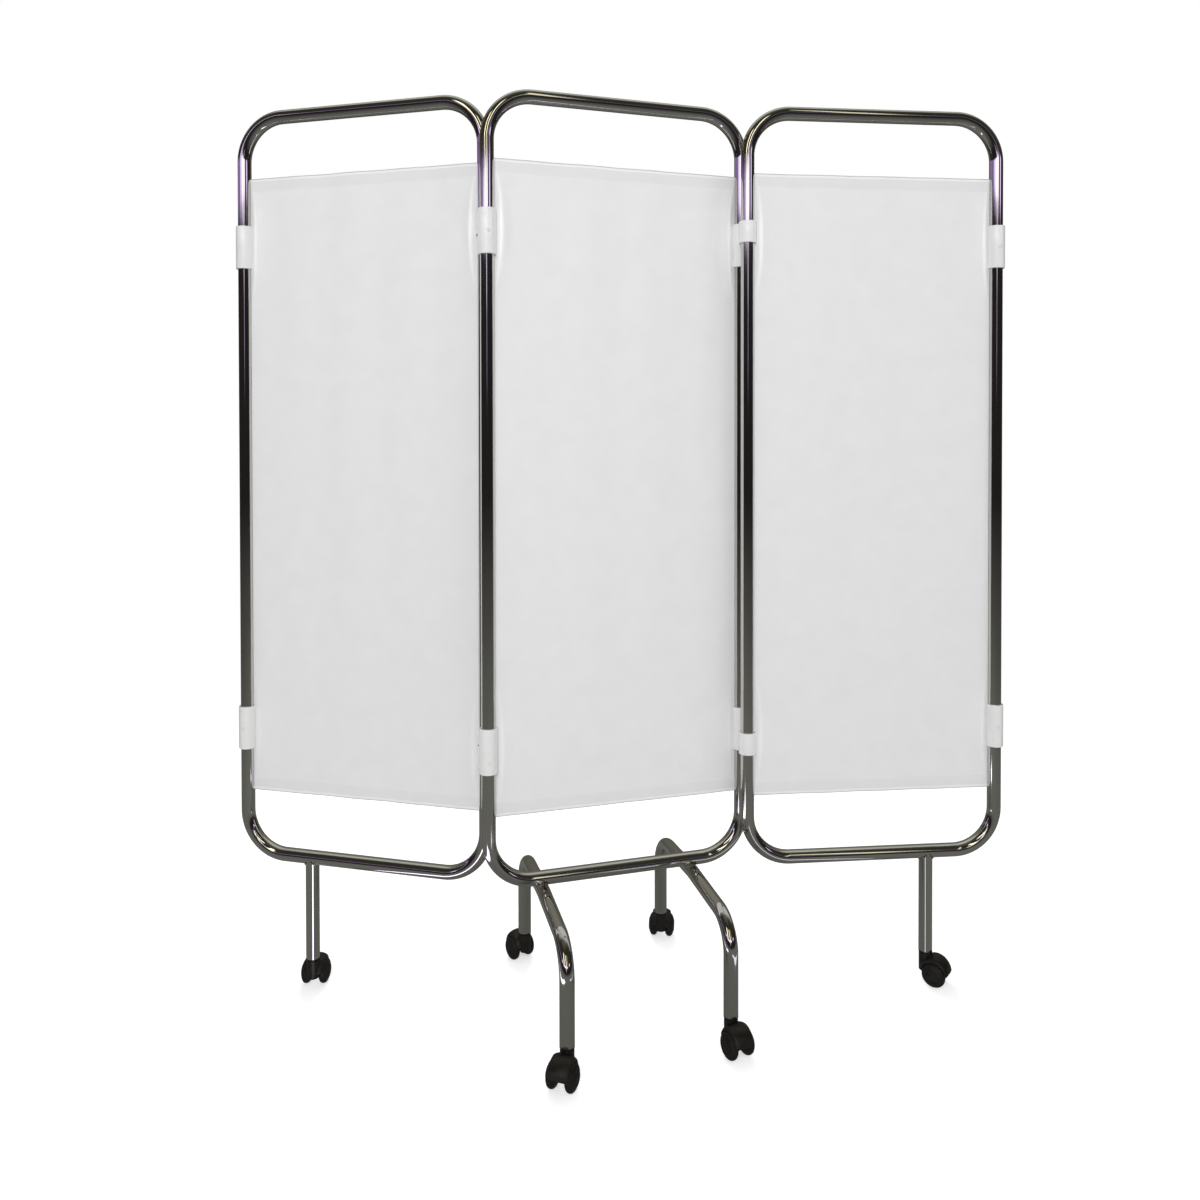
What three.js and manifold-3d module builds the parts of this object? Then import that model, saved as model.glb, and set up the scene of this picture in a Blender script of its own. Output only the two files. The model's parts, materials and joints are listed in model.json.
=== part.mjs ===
// A three-panel ward privacy screen: three chromed tube frames carrying taut white sheets. The side
// panels turn in white moulded clips on the middle frame, and the screen rolls on six castors.
// Millimetres, +Z up, floor at z = 0. The middle panel stands along X and its front faces -Y.
import * as THREE from 'three';
import { mergeVertices } from 'three/addons/utils/BufferGeometryUtils.js';
import Module from 'manifold-3d';

const wasm = await Module();
wasm.setup();

// Clearances
const seatGap = 0.3;
const runningGap = 0.8;
const cutOverrun = 5;

// Tube frames
const frameWidth = 480;
const frameHeight = 1386;
const bottomBarHeight = 246;
const tubeDiameter = 25;
const cornerRadius = 80;
const halfLap = 2;

// Set-up of the three panels
const postSpacing = 30;
const leftFoldDegrees = 29;
const rightFoldDegrees = 10.5;

// Legs
const legWall = 1.5;
const legEndHeight = 57.5;
const sideLegInset = 135;
const archLegInset = 98;
const archHalfSpan = 178;
const archBendRadius = 55;
const archSlopeDegrees = 3;

// Sheets
const sheetThickness = 1.2;
const sheetBelowTopBar = 112;
const sheetAboveBottomBar = 118;
const foldDepth = 4.5;
const foldPitch = 118;

// Moulded clips
const clipHeight = 80;
const clipWall = 3.2;
const clipChamfer = 1.2;
const clipWebWidth = 22;
const topClipBelowSheetTop = 129;
const bottomClipAboveSheetBottom = 119;

// Castors
const wheelDiameter = 43;
const wheelWidth = 19.5;
const castorTrail = 19.5;
const castorWebWidth = 11.8;
const castorHubDiameter = 22;
const hoodWall = 5.7;
const hoodWidth = 36;
const hoodRise = 1.12;
const hoodHeight = 53.9;
const hoodSkirt = 7;
const bossDiameter = 23.6;
const bossFoot = 20;
const axleDiameter = 6;
const axleEndInset = 1.5;
const pintleDiameter = 10;
const pintleLength = 42;
const pintleTip = 1.5;
const pintleSocketDepth = 8;
const insertLength = 48;
const insertFlange = 2.4;

// Facets
const tubeSides = 14;
const boreSides = 10;
const bendSteps = 5;
const clipSides = 14;
const wheelSides = 18;
const hoodSides = 20;
const pinSides = 10;
const insertSides = 12;
const sheetColumns = 24;
const sheetRows = 4;

// Swivel of each castor about its stem, in degrees from +X, as the photographed screen stands
const castorHeadings = {
  left: 104,
  right: -39.5,
  rear_left: 110,
  rear_right: 65,
  front_left: -125,
  front_right: -80,
};

// A wheel's section from either face to its tread, as shares of its width and radius
const wheelShares = [[0, 0.52], [0.07, 0.7], [0.18, 0.89], [0.32, 1]];

// The hood's section from its middle out, as shares of its half width and radius
const hoodShares = [[0.35, 0.99], [0.6, 0.965], [0.8, 0.92], [1, 0.86]];

const tubeRadius = tubeDiameter / 2;
const wheelRadius = wheelDiameter / 2;
const axleHeight = wheelRadius * Math.cos(Math.PI / wheelSides);
const topBarHeight = bottomBarHeight + frameHeight;
const sheetTop = topBarHeight - sheetBelowTopBar;
const sheetBottom = bottomBarHeight + sheetAboveBottomBar;
const clipBore = tubeRadius + seatGap;
const clipRadius = clipBore + clipWall;
const topClipHeight = sheetTop - topClipBelowSheetTop;
const bottomClipHeight = sheetBottom + bottomClipAboveSheetBottom;

const chrome = { color: 0x8d8b84, roughness: 0.12, metalness: 1 };
const vinyl = { color: 0xe6e6e6, roughness: 0.42, metalness: 0 };
const clipPlastic = { color: 0xefefef, roughness: 0.3, metalness: 0 };
const hoodPlastic = { color: 0x1c1713, roughness: 0.45, metalness: 0 };
const wheelPlastic = { color: 0x14110f, roughness: 0.55, metalness: 0 };
const steel = { color: 0xa3a3a0, roughness: 0.3, metalness: 1 };

// Joining and cutting

function toSolid(geometry) {
  const bare = geometry.index ? geometry.clone() : geometry;
  bare.deleteAttribute('normal');
  bare.deleteAttribute('uv');
  const merged = mergeVertices(bare, 1e-4);
  return new wasm.Manifold(new wasm.Mesh({
    numProp: 3,
    vertProperties: new Float32Array(merged.attributes.position.array),
    triVerts: new Uint32Array(merged.index.array),
  }));
}

function toGeometry(solid) {
  const mesh = solid.getMesh();
  const geometry = new THREE.BufferGeometry();
  geometry.setAttribute('position', new THREE.BufferAttribute(new Float32Array(mesh.vertProperties), 3));
  geometry.setIndex(new THREE.BufferAttribute(new Uint32Array(mesh.triVerts), 1));
  geometry.computeVertexNormals();
  return geometry;
}

function moved(solid, x, y, z) {
  return solid.translate([x, y, z]);
}

// Corner radius of a many-sided hole that clears a round pin of this radius
function holeRadius(radius, sides) {
  return radius / Math.cos(Math.PI / sides);
}

// Upright round solid standing on z = 0
function uprightCylinder(radius, height, sides) {
  const geometry = new THREE.CylinderGeometry(radius, radius, height, sides);
  geometry.rotateX(Math.PI / 2);
  geometry.translate(0, 0, height / 2);
  return toSolid(geometry);
}

// Round solid lying along Y, centred on the origin, with a flat side underneath
function cylinderAlongY(radius, length, sides) {
  const geometry = new THREE.CylinderGeometry(radius, radius, length, sides);
  geometry.rotateY(Math.PI / sides);
  return toSolid(geometry);
}

function block(width, depth, height) {
  return toSolid(new THREE.BoxGeometry(width, depth, height));
}

// Turned solid about Z from a closed profile of [radius, height] pairs
function turned(profile, sides) {
  const points = profile.map(([radius, height]) => new THREE.Vector2(radius, height));
  const geometry = new THREE.LatheGeometry(points, sides);
  geometry.rotateX(Math.PI / 2);
  return toSolid(geometry);
}

// A bent tube's route: stations only where the tube bends or ends
class Route extends THREE.Curve {
  constructor(points, tangents) {
    super();
    this.points = points;
    this.tangents = tangents;
  }

  stationAt(u) {
    return Math.round(u * (this.points.length - 1));
  }

  getPointAt(u, target = new THREE.Vector3()) {
    return target.copy(this.points[this.stationAt(u)]);
  }

  getTangentAt(u, target = new THREE.Vector3()) {
    return target.copy(this.tangents[this.stationAt(u)]);
  }
}

// Route in one upright plane from [run, height] corners, each bend an arc of its own radius
function bentRoute(corners, radius, steps) {
  const points = [];
  const tangents = [];
  const push = (at, along) => {
    points.push(new THREE.Vector3(at.x, 0, at.y));
    tangents.push(new THREE.Vector3(along.x, 0, along.y));
  };
  const at = corners.map(([run, height]) => new THREE.Vector2(run, height));
  push(at[0], at[1].clone().sub(at[0]).normalize());
  for (let i = 1; i < at.length - 1; i += 1) {
    const inward = at[i].clone().sub(at[i - 1]).normalize();
    const outward = at[i + 1].clone().sub(at[i]).normalize();
    const turn = Math.atan2(inward.cross(outward), inward.dot(outward));
    const reach = radius * Math.tan(Math.abs(turn) / 2);
    const side = new THREE.Vector2(-inward.y, inward.x).multiplyScalar(Math.sign(turn) * radius);
    const centre = at[i].clone().addScaledVector(inward, -reach).add(side);
    const count = Math.max(1, Math.round(steps * Math.abs(turn) / (Math.PI / 2)));
    for (let k = 0; k <= count; k += 1) {
      const angle = turn * k / count;
      push(side.clone().negate().rotateAround(new THREE.Vector2(), angle).add(centre),
        inward.clone().rotateAround(new THREE.Vector2(), angle));
    }
  }
  const last = at.length - 1;
  push(at[last], at[last].clone().sub(at[last - 1]).normalize());
  return new Route(points, tangents);
}

function roundOutline(radius, sides) {
  const outline = [];
  for (let i = 0; i < sides; i += 1) {
    const angle = (i + 1 / 2) * 2 * Math.PI / sides;
    outline.push(new THREE.Vector2(radius * Math.cos(angle), radius * Math.sin(angle)));
  }
  return outline;
}

function bentTube(route, radius, bore) {
  const section = new THREE.Shape(roundOutline(radius, tubeSides));
  if (bore > 0) section.holes.push(new THREE.Path(roundOutline(bore, boreSides)));
  const geometry = new THREE.ExtrudeGeometry(section, {
    steps: route.points.length - 1,
    extrudePath: route,
  });
  return toSolid(geometry);
}

// Tube frames

function frameLoop() {
  const halfWidth = frameWidth / 2;
  const halfHeight = frameHeight / 2;
  const corners = [
    [-halfLap, halfHeight],
    [halfWidth, halfHeight],
    [halfWidth, -halfHeight],
    [-halfLap, -halfHeight],
  ];
  const half = bentTube(bentRoute(corners, cornerRadius, bendSteps), tubeRadius, 0);
  return half.add(half.rotate([0, 180, 0]));
}

// Legs: local origin under the bottom bar's centre line, on the floor

function sideLeg() {
  const height = bottomBarHeight - legEndHeight;
  const outer = uprightCylinder(tubeRadius, height, tubeSides);
  const bore = uprightCylinder(tubeRadius - legWall, height + 2 * cutOverrun, boreSides);
  const bar = toSolid(new THREE.CylinderGeometry(tubeRadius + seatGap, tubeRadius + seatGap,
    tubeDiameter + 2 * cutOverrun, 2 * tubeSides).rotateZ(Math.PI / 2));
  const tube = outer.subtract(moved(bore, 0, 0, -cutOverrun));
  return moved(tube, 0, 0, legEndHeight).subtract(moved(bar, 0, 0, bottomBarHeight));
}

function archLeg() {
  const crown = bottomBarHeight - tubeDiameter - seatGap;
  const drop = archHalfSpan * Math.tan(THREE.MathUtils.degToRad(archSlopeDegrees));
  const corners = [
    [-archHalfSpan, legEndHeight],
    [-archHalfSpan, crown - drop],
    [0, crown],
    [archHalfSpan, crown - drop],
    [archHalfSpan, legEndHeight],
  ];
  const tube = bentTube(bentRoute(corners, archBendRadius, bendSteps), tubeRadius, tubeRadius - legWall);
  return tube.rotate([0, 0, 90]);
}

// Sheets: a taut sheet keeps a straight edge at each post and soft upright folds between them

function foldOffset(x, z, side) {
  const half = frameWidth / 2;
  const fromPost = (1 - (x / half) ** 2) ** 2;
  const towardsTop = 1 / 2 + z / frameHeight;
  const fold = Math.cos(2 * Math.PI * (x / foldPitch + side / 3));
  return foldDepth * fromPost * fold * (1 / 2 + towardsTop / 2);
}

function sheet(side) {
  const width = frameWidth - 2 * clipBore;
  const height = sheetTop - sheetBottom;
  const geometry = new THREE.BoxGeometry(width, sheetThickness, height, sheetColumns, 1, sheetRows);
  const points = geometry.attributes.position;
  for (let i = 0; i < points.count; i += 1) {
    points.setY(i, points.getY(i) + foldOffset(points.getX(i), points.getZ(i), side));
  }
  let solid = moved(toSolid(geometry), 0, 0, (sheetTop + sheetBottom) / 2);
  // Side sheets step back from the knuckles that their inner post turns in
  for (const place of side === 0 ? [] : hingePlaces) {
    const height = clipHeight / 2 + 2 * runningGap;
    const notch = uprightCylinder(clipRadius + runningGap, height, clipSides);
    const foot = place.height + (place.upperKnuckle ? 0 : -clipHeight / 2) - runningGap;
    solid = solid.subtract(moved(notch, -side * frameWidth / 2, 0, foot));
  }
  return solid;
}

// Moulded clips: local origin on the post's axis at the clip's mid height

const hingePlaces = [
  { name: 'top', height: topClipHeight, upperKnuckle: true },
  { name: 'bottom', height: bottomClipHeight, upperKnuckle: false },
];

function barrel(height) {
  const profile = [
    [0, -height / 2],
    [clipRadius - clipChamfer, -height / 2],
    [clipRadius, clipChamfer - height / 2],
    [clipRadius, height / 2 - clipChamfer],
    [clipRadius - clipChamfer, height / 2],
    [0, height / 2],
  ];
  return turned(profile, clipSides);
}

function postBore(height) {
  const radius = holeRadius(clipBore, clipSides);
  return moved(uprightCylinder(radius, height + 2 * cutOverrun, clipSides), 0, 0, -height / 2 - cutOverrun);
}

// Slit on the panel's side of the barrel, where the sheet's edge is held
function sheetSlit(towards) {
  const reach = clipRadius + cutOverrun;
  const slit = block(reach, sheetThickness + 2 * seatGap, clipHeight + 2 * cutOverrun);
  return moved(slit, towards * reach / 2, 0, 0);
}

function outerClip(towards) {
  return barrel(clipHeight).subtract(postBore(clipHeight)).subtract(sheetSlit(towards));
}

// The neighbour's post lies at (0, spacing) and turns in the half-height knuckle
function hingeClip(towards, spacing, upperKnuckle) {
  const height = clipHeight / 2;
  const middle = (upperKnuckle ? 1 : -1) * height / 2;
  const knuckle = moved(barrel(height), 0, spacing, middle);
  const web = moved(block(clipWebWidth, Math.abs(spacing), height - 2 * clipChamfer), 0, spacing / 2, middle);
  return barrel(clipHeight).add(knuckle).add(web)
    .subtract(postBore(clipHeight))
    .subtract(moved(postBore(height), 0, spacing, middle))
    .subtract(sheetSlit(towards));
}

// Castors: local origin on the swivel axis at the floor, wheels trailing towards +X

function castorInsert() {
  const inside = tubeRadius - legWall - seatGap;
  const fitted = inside * Math.cos(Math.PI / boreSides);
  const bore = holeRadius(pintleDiameter / 2 + seatGap, insertSides);
  const flangeTop = legEndHeight - seatGap;
  return turned([
    [bore, flangeTop - insertFlange],
    [tubeRadius, flangeTop - insertFlange],
    [tubeRadius, flangeTop],
    [fitted, flangeTop],
    [fitted, flangeTop + insertLength],
    [bore, flangeTop + insertLength],
    [bore, flangeTop - insertFlange],
  ], insertSides);
}

function castorPintle() {
  const radius = pintleDiameter / 2;
  const foot = hoodHeight - pintleSocketDepth;
  const top = hoodHeight + pintleLength;
  return turned([
    [0, foot],
    [radius, foot],
    [radius, top - pintleTip],
    [radius - pintleTip, top],
    [0, top],
  ], pinSides);
}

// Room for a wheel, open at the hood's side
function wheelCavity(side) {
  const outline = wheelShares.map(([across, out]) => [
    holeRadius(out * wheelRadius + runningGap, hoodSides),
    across * wheelWidth,
  ]);
  const [treadRadius] = outline[outline.length - 1];
  const end = wheelWidth + cutOverrun;
  const profile = [[0, 0], ...outline, [treadRadius, end], [0, end]];
  return moved(turned(profile, hoodSides).rotate([side * -90, 0, 0]),
    castorTrail, side * castorWebWidth / 2, axleHeight);
}

// Round-shouldered cover over both wheels, taller than it is long
function hoodDome(halfWidth, radius) {
  const half = hoodShares.map(([across, out]) => [out * radius, across * halfWidth]);
  const mirrored = half.map(([out, across]) => [out, -across]).reverse();
  const profile = [[0, -halfWidth], ...mirrored, ...half, [0, halfWidth]];
  return turned(profile, hoodSides).rotate([90, 0, 0]).scale([1, 1, hoodRise]);
}

function castorHood() {
  const hoodRadius = wheelRadius + runningGap + hoodWall;
  const skirt = moved(block(4 * hoodRadius, hoodWidth + 2 * cutOverrun, 2 * hoodRadius),
    castorTrail, 0, axleHeight + hoodSkirt - hoodRadius);
  const boss = moved(uprightCylinder(bossDiameter / 2, hoodHeight - bossFoot, insertSides), 0, 0, bossFoot);
  const hub = moved(cylinderAlongY(castorHubDiameter / 2, castorWebWidth, wheelSides), castorTrail, 0, axleHeight);
  const axleBore = holeRadius(axleDiameter / 2 + seatGap, pinSides);
  const axleHole = moved(cylinderAlongY(axleBore, hoodWidth, pinSides), castorTrail, 0, axleHeight);
  const pintleBore = holeRadius(pintleDiameter / 2 + seatGap, pinSides);
  const socket = uprightCylinder(pintleBore, pintleSocketDepth + seatGap + cutOverrun, pinSides);
  return moved(hoodDome(hoodWidth / 2, hoodRadius), castorTrail, 0, axleHeight)
    .subtract(skirt)
    .add(boss)
    .subtract(wheelCavity(1))
    .subtract(wheelCavity(-1))
    .add(hub)
    .subtract(axleHole)
    .subtract(moved(socket, 0, 0, hoodHeight - pintleSocketDepth - seatGap));
}

function castorAxle() {
  const length = castorWebWidth + 2 * (wheelWidth + runningGap - axleEndInset);
  return moved(cylinderAlongY(axleDiameter / 2, length, pinSides), castorTrail, 0, axleHeight);
}

// One wheel, its inner face on the web's side
function castorWheel(side) {
  const bore = holeRadius(axleDiameter / 2 + seatGap, wheelSides);
  const inner = wheelShares.map(([across, out]) => [out * wheelRadius, across * wheelWidth]);
  const outer = inner.map(([out, across]) => [out, wheelWidth - across]).reverse();
  const profile = [[bore, 0], ...inner, ...outer, [bore, wheelWidth], [bore, 0]];
  const solid = turned(profile, wheelSides).rotate([0, 0, 180 / wheelSides]).rotate([side * -90, 0, 0]);
  return moved(solid, castorTrail, side * (castorWebWidth / 2 + runningGap / 2), axleHeight);
}

// Assembly

const screen = new THREE.Group();

function addMesh(group, name, solid, look) {
  const mesh = new THREE.Mesh(toGeometry(solid), new THREE.MeshStandardMaterial(look));
  mesh.name = name;
  group.add(mesh);
  return mesh;
}

function place(mesh, x, y, z) {
  mesh.position.set(x, y, z);
}

function addPanel(group, name, side) {
  place(addMesh(group, name + '_frame', frameLoop(), chrome), 0, 0, bottomBarHeight + frameHeight / 2);
  addMesh(group, name + '_sheet', sheet(side), vinyl);
}

function addCastor(group, name, x, y) {
  const plug = addMesh(group, name + '_castor_insert', castorInsert(), hoodPlastic);
  place(plug, x, y, 0);
  const swivel = new THREE.Group();
  swivel.position.set(x, y, 0);
  swivel.rotation.z = THREE.MathUtils.degToRad(castorHeadings[name]);
  addMesh(swivel, name + '_castor_pintle', castorPintle(), steel);
  addMesh(swivel, name + '_castor_hood', castorHood(), hoodPlastic);
  addMesh(swivel, name + '_castor_axle', castorAxle(), steel);
  addMesh(swivel, name + '_castor_wheel_a', castorWheel(1), wheelPlastic);
  addMesh(swivel, name + '_castor_wheel_b', castorWheel(-1), wheelPlastic);
  group.add(swivel);
}

function addMiddlePanel() {
  const panel = new THREE.Group();
  addPanel(panel, 'middle', 0);
  for (const [name, side] of [['left', -1], ['right', 1]]) {
    const legX = side * (frameWidth / 2 - archLegInset);
    place(addMesh(panel, name + '_arch_leg', archLeg(), chrome), legX, 0, 0);
    addCastor(panel, 'rear_' + name, legX, archHalfSpan);
    addCastor(panel, 'front_' + name, legX, -archHalfSpan);
    for (const { name: level, height, upperKnuckle } of hingePlaces) {
      const clip = hingeClip(-side, -side * postSpacing, upperKnuckle);
      place(addMesh(panel, name + '_' + level + '_hinge_clip', clip, clipPlastic), side * frameWidth / 2, 0, height);
    }
  }
  screen.add(panel);
}

// A side panel is built along X about its own middle and turned about its inner post
function addSidePanel(name, side, foldDegrees) {
  const hinge = new THREE.Group();
  hinge.position.set(side * frameWidth / 2, -side * postSpacing, 0);
  hinge.rotation.z = -THREE.MathUtils.degToRad(foldDegrees);
  const panel = new THREE.Group();
  panel.position.x = side * frameWidth / 2;
  addPanel(panel, name, side);
  const legX = side * (frameWidth / 2 - sideLegInset);
  place(addMesh(panel, name + '_leg', sideLeg(), chrome), legX, 0, 0);
  addCastor(panel, name, legX, 0);
  for (const { name: level, height } of hingePlaces) {
    const clip = outerClip(-side);
    place(addMesh(panel, name + '_' + level + '_outer_clip', clip, clipPlastic), side * frameWidth / 2, 0, height);
  }
  hinge.add(panel);
  screen.add(hinge);
}

// The origin is on the floor under the middle of the whole screen
function centreOnFloor() {
  screen.updateMatrixWorld(true);
  const middle = new THREE.Box3().setFromObject(screen, true).getCenter(new THREE.Vector3());
  screen.position.set(-middle.x, -middle.y, 0);
}

addMiddlePanel();
addSidePanel('left', -1, leftFoldDegrees);
addSidePanel('right', 1, rightFoldDegrees);
centreOnFloor();

export default screen;
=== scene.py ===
import json
import math

import bmesh
import bpy
from mathutils import Matrix, Vector, noise


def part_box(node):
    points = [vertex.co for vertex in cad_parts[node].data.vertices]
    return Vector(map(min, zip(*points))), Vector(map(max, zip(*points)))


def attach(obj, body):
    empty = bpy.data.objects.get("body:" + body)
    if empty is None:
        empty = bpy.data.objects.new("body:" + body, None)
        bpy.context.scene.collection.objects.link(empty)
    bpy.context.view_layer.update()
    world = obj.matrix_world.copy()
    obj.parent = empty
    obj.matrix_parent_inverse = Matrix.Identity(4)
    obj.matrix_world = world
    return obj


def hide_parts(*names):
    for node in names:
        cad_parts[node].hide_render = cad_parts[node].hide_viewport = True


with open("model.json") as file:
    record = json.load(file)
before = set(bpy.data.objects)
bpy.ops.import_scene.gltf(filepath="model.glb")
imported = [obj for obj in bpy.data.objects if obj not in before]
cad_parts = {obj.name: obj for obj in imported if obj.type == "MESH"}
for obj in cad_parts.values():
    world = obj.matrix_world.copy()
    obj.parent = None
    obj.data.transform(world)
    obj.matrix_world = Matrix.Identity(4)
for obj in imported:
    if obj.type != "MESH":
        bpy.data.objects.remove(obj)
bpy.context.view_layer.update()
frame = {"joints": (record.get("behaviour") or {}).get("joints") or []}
print("frame loaded")

# Where the panels stand, worked out from the joints

joints = {joint["name"]: joint for joint in frame["joints"]}
hingePoints = {side: Vector(joints[side + "_panel_fold"]["pos_m"]) for side in ("left", "right")}
postSpan = hingePoints["right"].x - hingePoints["left"].x
postSpacing = (hingePoints["left"].y - hingePoints["right"].y) / 2
panelSides = {"left": -1, "middle": 0, "right": 1}
castorNames = ("left", "right", "rear_left", "rear_right", "front_left", "front_right")

# Tube frames and legs, in metres as the solids have them
tubeSizes = {
    "radius": 0.0125, "wall": 0.0015, "cornerRadius": 0.080, "barHeight": 0.246, "frameHeight": 1.386,
    "archSlope": math.radians(3), "archBendRadius": 0.055, "seat": 0.0003,
    "sides": 48, "bendSteps": 24, "endRound": 0.0004, "boreDepth": 0.012,
}


# Matrix of the spot on the floor under the middle of a node
def footPlace(node):
    low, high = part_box(node)
    return Matrix.Translation(((low.x + high.x) / 2, (low.y + high.y) / 2, 0))


# Matrix from a panel's own axes, x along it from its middle, to the frame
def panelPlace(name):
    side = panelSides[name]
    if side == 0:
        middle = (hingePoints["left"] + hingePoints["right"]) / 2
        return Matrix.Translation((middle.x, middle.y, 0))
    hinge = hingePoints[name] * Vector((1, 1, 0))
    outward = (footPlace(name + "_leg").translation - hinge).normalized()
    along = outward * side
    turn = Matrix.Rotation(math.atan2(along.y, along.x), 4, "Z")
    return Matrix.Translation(hinge + outward * postSpan / 2) @ turn


panelPlaces = {name: panelPlace(name) for name in panelSides}


def castorPoints(name):
    return Vector(joints[name + "_castor_swivel"]["pos_m"]), Vector(joints[name + "_wheel_a_spin"]["pos_m"])


# Matrix from a castor's own axes, swivel at the origin and trail along x, to the frame
def castorPlace(name):
    swivel, axle = castorPoints(name)
    heading = math.atan2(axle.y - swivel.y, axle.x - swivel.x)
    return Matrix.Translation((swivel.x, swivel.y, 0)) @ Matrix.Rotation(heading, 4, "Z")


castorPlaces = {name: castorPlace(name) for name in castorNames}


def addObject(name, data):
    made = bpy.data.objects.new(name, data)
    bpy.context.scene.collection.objects.link(made)
    return made


# Camera, fitted to the photograph: turned in degrees, placed in metres from the foot of the middle
# panel's left post and framed in pixels, with the sensor's width in millimetres
cameraSetup = {
    "swing": 15.646, "pitch": 0.708, "roll": -0.088, "place": (0.196521, -1.615316, 0.783841),
    "focalPixels": 924.18, "axisPixel": 450.0, "framePixels": 1200.0, "sensor": 36, "reach": 100,
}


def addCamera():
    setup = cameraSetup
    data = bpy.data.cameras.new("camera")
    data.sensor_width = setup["sensor"]
    data.lens = setup["focalPixels"] / setup["framePixels"] * data.sensor_width
    data.shift_y = (setup["axisPixel"] - setup["framePixels"] / 2) / setup["framePixels"]
    data.clip_end = setup["reach"]
    camera = addObject("camera", data)
    middle = (hingePoints["left"] + hingePoints["right"]) / 2
    post = Vector((middle.x - postSpan / 2, middle.y, tubeSizes["barHeight"]))
    turn = Matrix.Rotation(-math.radians(setup["swing"]), 4, "Z")
    look = turn @ Matrix.Rotation(math.radians(90 - setup["pitch"]), 4, "X")
    roll = Matrix.Rotation(math.radians(setup["roll"]), 4, "Z")
    camera.matrix_world = Matrix.Translation(post + turn @ Vector(setup["place"])) @ look @ roll
    bpy.context.scene.camera = camera


addCamera()
bpy.context.scene.view_settings.view_transform = "Standard"
print("camera ready")


# Materials

# The nodes of a material or a world, made by short calls
class Nodes:
    def __init__(self, owner):
        owner.use_nodes = True
        self.owner = owner
        self.tree = owner.node_tree
        self.position = self.add("ShaderNodeTexCoord").outputs["Object"]

    def add(self, kind, inputs=None, **settings):
        node = self.tree.nodes.new(kind)
        for key, value in settings.items():
            setattr(node, key, value)
        for key, value in (inputs or {}).items():
            self.set(node.inputs[key], value)
        return node

    def set(self, socket, value):
        if isinstance(value, bpy.types.NodeSocket):
            self.tree.links.new(value, socket)
        elif socket.type == "RGBA":
            socket.default_value = (*value, 1)
        else:
            socket.default_value = value

    def noise(self, scale, detail, stretch=(1, 1, 1)):
        place = self.add("ShaderNodeMapping", {"Vector": self.position, "Scale": stretch}).outputs["Vector"]
        inputs = {"Vector": place, "Scale": scale, "Detail": detail}
        return self.add("ShaderNodeTexNoise", inputs).outputs["Fac"]

    def cells(self, scale):
        return self.add("ShaderNodeTexVoronoi", {"Vector": self.position, "Scale": scale}).outputs["Distance"]

    def mark(self, name):
        return self.add("ShaderNodeAttribute", attribute_name=name)

    def spread(self, value, low, high, fromLow=0.3, fromHigh=0.7):
        return self.add("ShaderNodeMapRange", {
            "Value": value, "From Min": fromLow, "From Max": fromHigh, "To Min": low, "To Max": high,
        }).outputs["Result"]

    def mix(self, factor, first, second):
        return self.add("ShaderNodeMix", {0: factor, 6: first, 7: second}, data_type="RGBA").outputs[2]

    def bump(self, height, distance, strength):
        inputs = {"Height": height, "Distance": distance, "Strength": strength}
        return self.add("ShaderNodeBump", inputs).outputs["Normal"]

    def light(self, colour, strength=1.0):
        return self.add("ShaderNodeEmission", {"Color": colour, "Strength": strength}).outputs[0]

    # Takes the place of the material's own shader
    def show(self, shader):
        self.set(self.tree.nodes["Material Output"].inputs["Surface"], shader)
        return self.owner

    def finish(self, **values):
        for key, value in values.items():
            self.set(self.tree.nodes["Principled BSDF"].inputs[key.replace("_", " ")], value)
        return self.owner


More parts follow.
